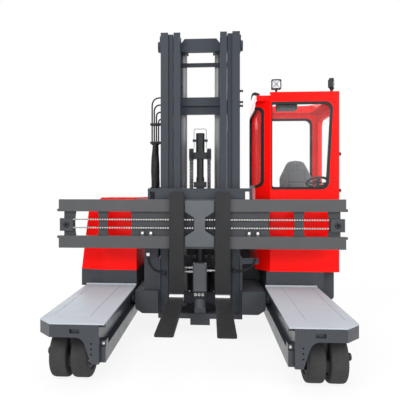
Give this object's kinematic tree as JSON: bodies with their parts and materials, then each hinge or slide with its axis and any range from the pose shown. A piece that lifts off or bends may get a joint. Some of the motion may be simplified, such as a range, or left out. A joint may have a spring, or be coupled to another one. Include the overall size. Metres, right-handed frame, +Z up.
{
  "type": "multidirectional forklift",
  "caption": "Multidirectional forklift with a cab, an engine hood, two deck legs on steered wheels, and a reach mast that carries forks on a wide carriage between the legs.",
  "frame": {"origin": "on the ground under the middle of the truck's outline", "axes": "+X towards the cab side, +Y from the fork tips to the rear, +Z up"},
  "size_m": [2.996, 2.72, 3.25],
  "materials": {
    "red_paint": "gloss",
    "chassis_grey": "satin",
    "carriage_grey": "satin",
    "fork_steel": "satin",
    "deck_grey": "satin",
    "tyre": "matt",
    "black_rubber": "matt",
    "black_plastic": "matt",
    "glass": "clear",
    "bright_rod": "polished",
    "cylinder_grey": "satin",
    "chain_steel": "oiled",
    "cast_iron": "painted",
    "seat_fabric": "woven"
  },
  "bodies": {
    "chassis": {"legs": "chassis_grey", "decks": "deck_grey", "rear_frame": "chassis_grey", "counterweight": "cast_iron", "reach_cylinders": "cylinder_grey", "superstructure_bases": "chassis_grey", "engine_block": "cast_iron", "cab_front_panel": "red_paint", "cab_mast_side_panel": "red_paint", "cab_rear_panel": "red_paint", "cab_door_frame": "red_paint", "cab_floor": "black_plastic", "cab_roof": "red_paint", "cab_glass": "glass", "window_seals": "black_rubber", "seat_base": "black_plastic", "seat_cushion": "seat_fabric", "seat_backrest": "seat_fabric", "steering_column": "black_plastic", "steering_wheel": "black_plastic", "overhead_radio": "black_plastic", "work_lamps": "black_plastic", "fuel_tank": "chassis_grey"},
    "reach": {"reach_slide": "chassis_grey", "reach_rods": "bright_rod", "outer_mast": "chassis_grey", "lift_cylinders": "cylinder_grey", "hose_bundle": "black_rubber", "hydraulic_manifold": "cylinder_grey"},
    "middle_stage": {"middle_mast": "chassis_grey", "lift_rods": "bright_rod"},
    "inner_stage": {"inner_mast": "chassis_grey", "free_lift_cylinder": "chassis_grey"},
    "crosshead": {"lift_crosshead": "chassis_grey", "lift_chains": "chain_steel"},
    "carriage": {"fork_bars": "carriage_grey", "carriage_ribs": "carriage_grey", "carriage_frame": "chassis_grey", "fork_positioner": "chain_steel", "centre_plate": "chassis_grey"},
    "left_fork": {"fork_left": "fork_steel"},
    "right_fork": {"fork_right": "fork_steel"},
    "door": {"cab_door": "red_paint", "door_glass": "glass"},
    "hood": {"engine_hood": "red_paint"},
    "front_left_steering": {"front_left_knuckle": "chassis_grey"},
    "front_left_wheel": {"front_left_hub": "chassis_grey", "front_left_tyres": "tyre"},
    "front_right_steering": {"front_right_knuckle": "chassis_grey"},
    "front_right_wheel": {"front_right_hub": "chassis_grey", "front_right_tyres": "tyre"},
    "rear_steering": {"rear_yoke": "chassis_grey"},
    "rear_wheel": {"rear_hub": "chassis_grey", "rear_tyre": "tyre"}
  },
  "joints": [
    {"name": "mast_reach", "type": "slide", "parent": "chassis", "child": "reach", "axis": [0, -1, 0], "range_m": [0, 1]},
    {"name": "middle_lift", "type": "slide", "parent": "reach", "child": "middle_stage", "axis": [0, 0, 1], "range_m": [0, 1.3]},
    {"name": "inner_lift", "type": "slide", "parent": "middle_stage", "child": "inner_stage", "axis": [0, 0, 1], "range_m": [0, 1.3]},
    {"name": "carriage_lift", "type": "slide", "parent": "inner_stage", "child": "carriage", "axis": [0, 0, 1], "range_m": [-0.38, 1.4]},
    {"name": "crosshead_lift", "type": "slide", "parent": "inner_stage", "child": "crosshead", "axis": [0, 0, 1], "range_m": [-0.19, 0.7]},
    {"name": "right_fork_slide", "type": "slide", "parent": "carriage", "child": "right_fork", "axis": [1, 0, 0], "range_m": [0, 0.38]},
    {"name": "left_fork_slide", "type": "slide", "parent": "carriage", "child": "left_fork", "axis": [-1, 0, 0], "range_m": [0, 0.38]},
    {"name": "front_left_steer", "type": "hinge", "parent": "chassis", "child": "front_left_steering", "pos_m": [-1.015, -0.996, 0.45], "axis": [0, 0, 1], "range_deg": [0, 90]},
    {"name": "front_left_roll", "type": "hinge", "parent": "front_left_steering", "child": "front_left_wheel", "pos_m": [-1.015, -0.996, 0.203], "axis": [1, 0, 0], "continuous": true},
    {"name": "front_right_steer", "type": "hinge", "parent": "chassis", "child": "front_right_steering", "pos_m": [1.015, -0.996, 0.45], "axis": [0, 0, 1], "range_deg": [0, 90]},
    {"name": "front_right_roll", "type": "hinge", "parent": "front_right_steering", "child": "front_right_wheel", "pos_m": [1.015, -0.996, 0.203], "axis": [1, 0, 0], "continuous": true},
    {"name": "rear_steer", "type": "hinge", "parent": "chassis", "child": "rear_steering", "pos_m": [0, 1.01, 0.6], "axis": [0, 0, 1], "range_deg": [-90, 90]},
    {"name": "rear_roll", "type": "hinge", "parent": "rear_steering", "child": "rear_wheel", "pos_m": [0, 1.01, 0.28], "axis": [1, 0, 0], "continuous": true},
    {"name": "door_swing", "type": "hinge", "parent": "chassis", "child": "door", "pos_m": [1.49, 0.277, 1.7], "axis": [0, 0, -1], "range_deg": [0, 85]},
    {"name": "hood_tilt", "type": "hinge", "parent": "chassis", "child": "hood", "pos_m": [-1, 1.0863, 0.674], "axis": [-1, 0, 0], "range_deg": [0, 60]}
  ],
  "couplings": [
    {"joint": "inner_lift", "follows": "middle_lift", "ratio": 1},
    {"joint": "crosshead_lift", "follows": "carriage_lift", "ratio": 0.5},
    {"joint": "left_fork_slide", "follows": "right_fork_slide", "ratio": 1}
  ]
}
